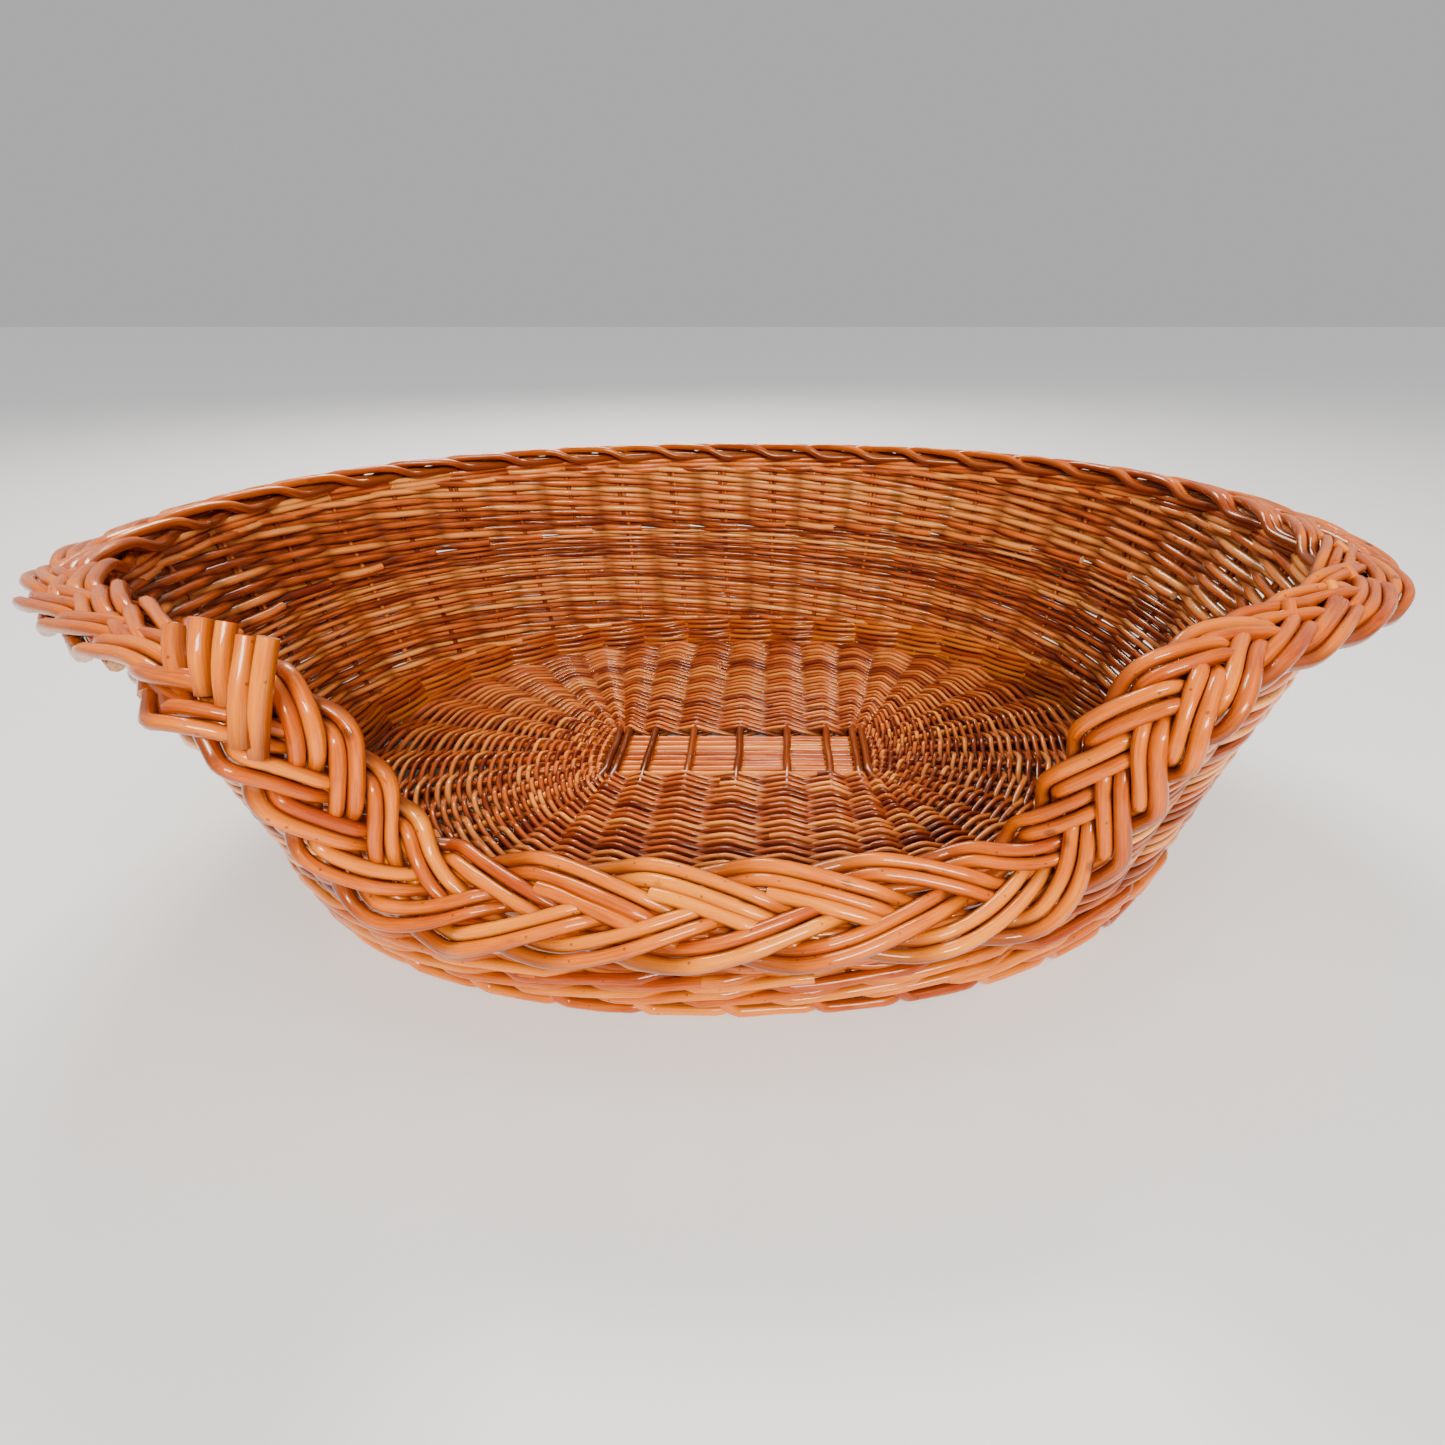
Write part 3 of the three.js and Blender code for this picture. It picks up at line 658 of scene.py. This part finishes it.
# ---- wall --------------------------------------------------------------------------------------------
OVER_TOP = 4.0  # how far the weave runs up into the plait
LOWER_PASSES, UPPER_PASSES = 25, 14  # stakes that one rod passes as it climbs
RANDING_STEPS = 8  # points of a rod from stake to stake
BUTT_START = -0.28  # where a rod's butt lies from its first stake, in stakes
FLATTER = 0.85  # a rod's swing: 1 is a sine wave, less is flatter at the stakes
STAKE_SHARE, ROD_SHARE = 0.65, 0.6  # of the stake's and the rod's radius, in the swing
INSIDE_HIGHER = 0.75  # a rod lies this much higher inside a stake and lower outside one
# Strengths of the painted shade on the flanks of the lower and upper randing rods
LOWER_CREASE_SHADE, UPPER_CREASE_SHADE = 2.2, 1.9
TOP_DROPS = (-2.6, 1.6, 5.6)  # from the woven edge to the rows that close it
PACKING_RADIUS = 2.5
PACKING_HEIGHTS = (1.5, 7.0, 12.5, 18.0, 23.5, 28.5)  # above the waling's bottom
WALE_STRANDS = 3
WALE_ROWS, WALE_RADIUS, WALE_FIRST, WALE_PITCH, WALE_RISE = 2, 3.15, 6.6, 12.6, 3.6
FOOT_RADIUS, FOOT_REACH = 3.15, 2.3  # the reach is in stakes
SINGLE_CHANCE = 0.45
BESIDE = [-2.0, 2.1]  # places of doubled stakes along the wall


def runs(keep):
    """Stretches of consecutive true values."""
    edges = np.flatnonzero(np.diff(np.concatenate([[0], keep.astype(int), [0]])))
    return [slice(a, b) for a, b in zip(edges[::2], edges[1::2]) if b - a > 4]


def randing(rods, low, high, passes, butt, tip, slowing):
    """French randing: a rod for each stake goes inside one stake and outside the next as it climbs."""
    for number in range(STAKES):
        x = np.linspace(BUTT_START, passes + OVERLAP, passes * RANDING_STEPS + 6)
        share = np.clip(x, 0, None) / passes
        radius = butt + (tip - butt) * np.clip(share, 0, 1) ** 0.8
        along = (number + 0.5 + x) * SPACING
        wave = np.cos(np.pi * np.clip(x, 0, None))
        swing = np.sign(wave) * np.abs(wave) ** FLATTER
        out = -swing * (STAKE_RADIUS * STAKE_SHARE + radius * ROD_SHARE) + 0.3 * wander(x, 3.0)
        climb = (high - low) * (share * (1 + slowing - slowing * share))
        height = low + climb + INSIDE_HIGHER * swing + radius * 0.15 * wander(x, 2.5)
        points, normal = wall(along, height, out)
        # Painted shade: a rod darkens between the stakes, where it crosses from one side of the wall to the
        # other behind its neighbours
        shade = np.clip(0.85 - 1.35 * np.abs(wave), 0, 1)
        tone = rng.uniform(0, 1)
        for run in runs(height < wall_top(along) + OVER_TOP):
            rods.add(points[run], radius[run], normal[run], tone=tone, shade=shade[run])


def packed_row(rods, height, parts, steps, swing, shade, shift=0, inward=0.0):
    """A row of paired rods that cross at the stakes, in `parts` lengths round the wall.

    Height is a function of the place along the wall, and the painted shade of the rod's swing."""
    for strand in (0, 1):
        first = rng.uniform(0, 4)
        for part in range(parts):
            start, end = first + part * STAKES / parts, first + (part + 1) * STAKES / parts
            x = np.linspace(start - OVERLAP, end + OVERLAP, steps)
            wave = np.cos(np.pi * (x + shift + strand))
            rise = height(x * SPACING) + 0.3 * wander(x, 3.0)
            points, normal = wall(x * SPACING, rise, swing * wave - inward)
            rods.add(points, PACKING_RADIUS, normal, shade=shade(wave))


def wall_bands():
    lower = Rods(8, LOWER_CREASE_SHADE)
    randing(lower, WALE_TOP + 1.5, MID_HEIGHT - 0.5, LOWER_PASSES, 3.15, 2.0, 0.32)
    piece("lower_randing", lower, WALL_WILLOW, ["wall_lower_randing"])
    upper = Rods(9, UPPER_CREASE_SHADE)
    randing(upper, MID_HEIGHT + 1.0, RIM_HEIGHT - SEAT_RIM + 5.0, UPPER_PASSES, 3.4, 2.8, 0.06)
    # The rows that close the woven edge get painted shade where they cross between the stakes.
    for row, drop in enumerate(TOP_DROPS):
        packed_row(upper, lambda along: wall_top(along) + drop, 7, 60, 3.3,
                   lambda wave: np.clip(0.25 - 0.25 * np.abs(wave), 0, 1), shift=row)
    piece("upper_randing", upper, WALL_WILLOW, ["wall_upper_randing"])


def waling():
    """Three thick rods in turn, outside one stake in three and further in past the rest, and packing rows."""
    rods = Rods(9)
    for row in range(WALE_ROWS):
        for strand in range(WALE_STRANDS):
            first = int(rng.integers(0, STAKES))
            for part in range(3):
                start = first + part * STAKES / 3
                x = np.linspace(start - 0.6, start + STAKES / 3 + 0.6, 110)
                phase = 2 * np.pi * (x + strand) / WALE_STRANDS
                wave = np.cos(phase)
                swing = np.clip(1.75 * wave + 0.75, -1, 1)
                out = 1.2 + (STAKE_RADIUS + WALE_RADIUS * 0.75) * swing
                middle = WALE_BOTTOM + WALE_FIRST + row * WALE_PITCH
                height = middle + WALE_RISE * np.sin(phase) + 0.4 * wander(x, 3.0)
                points, normal = wall((x + 0.5) * SPACING, height, out)
                size = WALE_RADIUS * np.linspace(1.08, 0.86, len(x))
                # Painted shade: a wale rod darkens where it runs in behind the stakes
                rods.add(points, size, normal, shade=np.clip(0.3 - 0.5 * wave, 0, 1))
    # The packing rows lie in behind the waling and get an even painted shade.
    for above in PACKING_HEIGHTS:
        packed_row(rods, lambda along: WALE_BOTTOM + above, 5, 80, 3.4, lambda wave: 0.45, inward=0.8)
    piece("waling", rods, FOOT_WILLOW, ["wall_waling"])


def foot():
    """Rolled border the basket stands on: a rod hooks over the last one and runs on behind the next."""
    rods = Rods(10)
    for number in range(STAKES):
        x = np.linspace(0, FOOT_REACH, 60)
        out = -2.5 + 7.6 * smooth(0, 0.14, x) - 6.2 * smooth(0.98, 1.4, x)
        height = 13.0 - 9.6 * smooth(0.02, 0.3, x) + 3.6 * smooth(1.5, 2.2, x) + 0.2 * wander(x, 1.5)
        points, normal = wall((number + x) * SPACING, height, out)
        # Painted shade where the rod runs on behind the next one
        shade = 0.5 * smooth(1.0, 1.5, x)
        rods.add(points, FOOT_RADIUS * np.linspace(1.05, 0.88, len(x)), normal, shade=shade)
    piece("foot_rods", rods, FOOT_WILLOW, ["foot_border"])


def stakes():
    """Upright stakes. About half of them have a second one beside them in the upper wall."""
    rods = Rods(9)
    for number in range(STAKES):
        along = (number + 0.5) * SPACING
        top = float(wall_top(along)) + 2.0
        single = top < MID_HEIGHT or rng.uniform() < SINGLE_CHANCE
        for aside in [0.0] if single else BESIDE:
            height = np.linspace(6.0 if aside <= 0 else MID_HEIGHT - 40, top + 3.0, 40)
            offset = aside * np.clip((height - MID_HEIGHT + 20) / 40, 0, 1)
            points, normal = wall(along + offset + 0.5 * wander(height, 90), height)
            size = STAKE_RADIUS * np.linspace(1.04, 0.86, len(height))
            # Painted shade, even along the stakes
            rods.add(points, size, normal, tone=rng.uniform(0, 0.55), shade=0.2)
    piece("wall_stakes", rods, WALL_WILLOW, [f"stake_{i + 1}" for i in range(STAKES)])


# ---- plaited border ----------------------------------------------------------------------------------
STRANDS = 5
# The border's stretches: CAD node, and sides of their rods, which are fewer on the long back
STRETCHES = {
    "back": ("border_back", 8), "right": ("border_arm_right", 10),
    "left": ("border_arm_left", 10), "sill": ("border_sill", 10),
}
# Strength of the painted shade on the flanks of the plait's rods
PLAIT_CREASE_SHADE = 1.15
# Lengths are counted from the front's middle to the left shoulder, where the count begins again.
SHOULDER = 1718.0
SEAM = SHOULDER - LINE
# Places along the border's line and how far one stroke is from the next there
STROKES = [
    (SEAM, 27), (-170, 26), (-120, 27), (-70, 50), (95, 50), (150, 28), (235, 26), (320, 38), (420, 46),
    (1630, 44), (1690, 37), (SHOULDER, 30),
]
stroke_at, stroke_pitch = np.transpose(STROKES)
STRETCHED_FROM, STRETCHED_TO = 450, 1600  # the strokes that are stretched to close the round
PLAIT_STEPS = 4000
FIRST_TURN = 0.163
# Folds at the plait's edge: 1 is sharp. Those of the sill and back are blunter.
SHARP_FOLD, BLUNTER = 0.975, 0.13
# Radius of the rods, what the sill adds, and what the back takes off
ROD_RADIUS, ROD_THICKER, ROD_THINNER = 3.25, 0.2, 0.5
ROD_PITCH = 2.02  # between rods side by side, in radii
STROKE_THICKNESS, BACK_THICKER = 3.7, 0.7  # how far strokes lie above and below the plait's middle
CROSSING = 2.3  # how steeply a rod goes from over to under
HIDDEN = 0.035  # turns by which a rod runs on under the strokes that cross over its ends
# The sill's cut rods: how far from their strand's middle, the radius they get room for, and their own
CUT_ROD_ASIDE, CUT_ROD_ROOM, CUT_ROD_RADIUS = 9.2, 3.4, 3.35
FILLER_RADIUS = 2.7
UPRIGHT_RADIUS = 3.6
BUTTS_FROM, BUTTS_CLOSE, BUTTS_TO = 318.0, 480, 1180  # cut ends are close together up to the middle place


def plait_round():
    """Lengths and turns of a strand's zigzag over two rounds, and the turns of one round."""
    places = np.linspace(0, LINE, PLAIT_STEPS + 1)
    step = places[1]
    rate = 1 / (STRANDS * np.interp(SEAM + places, stroke_at, stroke_pitch))
    total = rate[:-1].sum() * step
    back = (SEAM + places > STRETCHED_FROM) & (SEAM + places < STRETCHED_TO)
    rate[back] *= 1 + (round(total * STRANDS) / STRANDS - total) / (rate[back].sum() * step)
    turns = np.concatenate([[0], np.cumsum(rate[:-1]) * step])
    lengths = SEAM + np.concatenate([places[:-1], places + LINE])
    return lengths, FIRST_TURN + np.concatenate([turns[:-1], turns + turns[-1]]), turns[-1]


plait_lengths, plait_turns, ROUND_TURNS = plait_round()


def length_at(turn):
    return np.interp(turn, plait_turns, plait_lengths)


def from_seam(length):
    return SEAM + np.mod(length - SEAM, LINE)


def on_sill(length):
    length = from_seam(length)
    return smooth(-125, -70, length) * (1 - smooth(95, 140, length))


def on_back(length, end=1650):
    length = from_seam(length)
    return smooth(300, 420, length) * (1 - smooth(end, end + 65, length))


def stretch_at(length):
    """Name of the border's stretch at a length."""
    place = np.mod(length, LINE)
    return ("sill", "right", "back", "left", "sill")[np.searchsorted(BEND_LENGTHS, place)]


def plait_stroke(begin, end, phase, aside, radius, lift=0.0, edge=1.55):
    """A rod that follows a strand between two turns, `aside` from the strand's middle.

    Returns its points, the plait's upward side there, its lengths along the border, and its painted shade,
    darker where it runs under the other strokes."""
    reach = length_at(end) - length_at(begin)
    turn = np.linspace(begin, end, max(8, int(reach / 2.3)))
    length = length_at(turn)
    angle = 2 * np.pi * (turn + phase)
    fold = SHARP_FOLD - BLUNTER * np.maximum(on_sill(length), on_back(length))
    swing = np.arcsin(fold * np.sin(angle)) / np.arcsin(fold)
    half = border.sample(length, border.width) / 2
    room = 1 - edge * radius / half
    slope = np.gradient(swing * half * room, length)
    lean = np.arctan(slope)
    across = swing * room + aside * np.cos(lean) / half
    layer = -np.tanh(CROSSING * np.sin(2 * angle)) / np.tanh(CROSSING)
    thick = STROKE_THICKNESS + BACK_THICKER * on_back(length)
    through = thick * layer + 1.6 * (1 - swing**2) + lift * (layer > 0) + 0.25 * wander(length, 70)
    points, face = border.at(length - aside * np.sin(lean), across, through)
    return points, face, length, np.clip(0.35 - 0.5 * layer, 0, 0.8)


def strand_rods(stretches, phase, hidden):
    """Rods side by side along one strand. Each starts and ends under the strokes that cross over it."""
    tone = rng.uniform(0, 1)
    for which in (0, 1, 2):
        i = 0
        while i < len(hidden) - 1:
            jump = min(int(rng.integers(1, 3)), len(hidden) - 1 - i)
            begin, end = hidden[i] - HIDDEN, hidden[i + jump] + HIDDEN
            i += jump
            middle = float(length_at((begin + end) / 2))
            count = 3 if on_back(middle) > 0.4 else 2
            if which >= count:
                continue
            radius = ROD_RADIUS + ROD_THICKER * on_sill(middle) - ROD_THINNER * on_back(middle, 1420)
            radius *= rng.uniform(0.93, 1.05)
            aside = (which - (count - 1) / 2) * radius * ROD_PITCH
            edge = 0.54 + 1.01 * (count - 1)
            points, face, length, shade = plait_stroke(begin, end, phase, aside, radius, edge=edge)
            tone = 0.45 * tone + 0.55 * rng.uniform(0, 1)
            size = radius * np.linspace(1.04, 0.92, len(points))
            lighter = 0.65 + 0.35 * on_sill(middle)
            stretches[stretch_at(middle)].add(points, size, face, tone=tone * lighter, shade=shade)


def sill_rods(stretches, phase):
    """A third, cut rod that lies along each of a strand's strokes from the sill's inner edge."""
    for n in range(int(ROUND_TURNS)):
        begin, end = n - phase + 0.795, n - phase + 1.06
        if begin > FIRST_TURN and on_sill(length_at(begin + 0.1)) > 0.9:
            stroke = plait_stroke(begin, end, phase, CUT_ROD_ASIDE, CUT_ROD_ROOM, lift=0.4)
            points, face, length, shade = stroke
            rods = stretches[stretch_at(length[0])]
            rods.add(points, CUT_ROD_RADIUS, face, tone=rng.uniform(0.3, 1), shade=shade)


def filler_rods(stretches):
    """Rods that run along inside the plait and fill it, with a painted shade that shows them dark in its
    gaps.
    """
    ends = [0, *BEND_LENGTHS, LINE]
    for low, high in zip(ends[:-1], ends[1:]):
        for across in (-0.42, 0.0, 0.42):
            length = np.linspace(low - 4, high + 4, int((high - low) / 8))
            wide, deep = across + 0.05 * wander(length, 120), -0.8 + 0.4 * wander(length, 90)
            points, face = border.at(length, wide, deep)
            stretches[stretch_at((low + high) / 2)].add(points, FILLER_RADIUS, face, shade=0.55)


# Tops and feet of the cut rods that stand up at the left shoulder
UPRIGHTS = [
    ((-189, -217, 214), (-183, -231, 201)), ((-171, -224, 220), (-172, -235, 199)),
    ((-160, -227, 220), (-163, -238, 197)), ((-151, -232, 217), (-155, -248, 187)),
    ((-143, -233, 217), (-152, -246, 182)),
]


def upright_ends(rods):
    """Cut rods that stand up over the plait at the left shoulder, with their feet under the next strokes."""
    share = np.linspace(0, 1.15, 14)[:, None]
    for top, foot_end in UPRIGHTS:
        top, foot_end = np.array(top, float), np.array(foot_end, float)
        points = top + (foot_end - top) * share + np.array([0, -1.5, 0]) * np.sin(np.pi * share)
        # Painted shade: each rod darkens towards its foot, under the next strokes
        shade = 0.4 * share[:, 0] ** 4
        rods.add(points, UPRIGHT_RADIUS, (0, -1, 0.2), tone=rng.uniform(0.3, 0.75), shade=shade)


def butts(rods):
    """Cut ends between the strokes on the inner side of the rim, close together at the right shoulder."""
    length = BUTTS_FROM
    while length < BUTTS_TO:
        close = length < BUTTS_CLOSE
        places = length + rng.uniform(-3, 3) + np.linspace(-9, 3, 7)
        ends, face = border.at(places, np.linspace(0.25, -0.5, 7), np.linspace(0, 7 if close else 5, 7))
        rods.add(ends, rng.uniform(2.9, 3.4), face, tone=rng.uniform(0.4, 1))
        pitch = float(np.interp(length, stroke_at, stroke_pitch))
        length += pitch * rng.uniform(0.9, 1.1) * (1 if close else 2.7)


def plait():
    """Five strands plaited flat: paired rods in front, and three to a strand round the back."""
    stretches = {name: Rods(sides, PLAIT_CREASE_SHADE) for name, (node, sides) in STRETCHES.items()}
    for strand in range(STRANDS):
        phase = strand / STRANDS
        hidden = np.arange(0.1 - phase, FIRST_TURN + ROUND_TURNS + 1, 0.5)
        first, last = np.searchsorted(hidden, [FIRST_TURN, FIRST_TURN + ROUND_TURNS])
        strand_rods(stretches, phase, hidden[first:last + 1])
        sill_rods(stretches, phase)
    filler_rods(stretches)
    upright_ends(stretches["back"])
    butts(stretches["back"])
    for name, (node, sides) in STRETCHES.items():
        piece(f"plait_{name}", stretches[name], BORDER_WILLOW, [node])


# ---- floor, light and camera -------------------------------------------------------------------------
def floor():
    material = bpy.data.materials.new("pale_floor")
    material.use_nodes = True
    shader = material.node_tree.nodes["Principled BSDF"]
    shader.inputs["Base Color"].default_value = (0.9, 0.9, 0.9, 1)
    shader.inputs["Roughness"].default_value = 0.8
    bpy.ops.mesh.primitive_plane_add(size=60, location=(0, 0, -0.0004))
    ob = bpy.context.object
    ob.name = "floor"
    ob.data.materials.append(material)


def add_light(name, kind, **settings):
    data = bpy.data.lights.new(name, kind)
    for key, value in settings.items():
        setattr(data, key, value)
    ob = bpy.data.objects.new(name, data)
    bpy.context.scene.collection.objects.link(ob)
    return ob


def area_light(name, place, target, size, power):
    warm = (1.0, 0.94, 0.85)
    ob = add_light(name, "AREA", shape="RECTANGLE", size=size[0], size_y=size[1], energy=power, color=warm)
    ob.location = place
    away = ob.location - type(ob.location)(target)
    ob.rotation_euler = away.to_track_quat("Z", "Y").to_euler()


def lights():
    world = bpy.data.worlds.new("studio")
    bpy.context.scene.world = world
    world.use_nodes = True
    world.node_tree.nodes["Background"].inputs["Color"].default_value = (1, 1, 1, 1)
    world.node_tree.nodes["Background"].inputs["Strength"].default_value = 0.5
    area_light("window", (-0.5, 1.6, 1.9), (0, 0, 0.1), (1.0, 0.5), 62)
    area_light("front_soft", (0.4, -1.9, 1.5), (0, 0, 0.08), (0.9, 0.4), 78)
    sky = add_light("sky", "SUN", energy=0.65, angle=0.9)
    sky.rotation_euler = (0.25, 0.2, 0)


def camera():
    data = bpy.data.cameras.new("camera")
    data.sensor_width = 36.0
    data.lens = 16.47
    data.shift_x = -0.0388
    data.shift_y = 0.0024
    data.clip_start = 0.01
    ob = bpy.data.objects.new("camera", data)
    bpy.context.scene.collection.objects.link(ob)
    ob.location = (0.0340, -0.4421 + CENTRE_Y * MM, 0.3107)
    ob.rotation_euler = (math.pi / 2 - 0.553, 0, 0.005)
    bpy.context.scene.camera = ob


# The steps draw from one row of random numbers, so their order matters.
base_weave()
long_sticks()
cross_sticks()
wall_bands()
waling()
foot()
stakes()
plait()
floor()
lights()
camera()
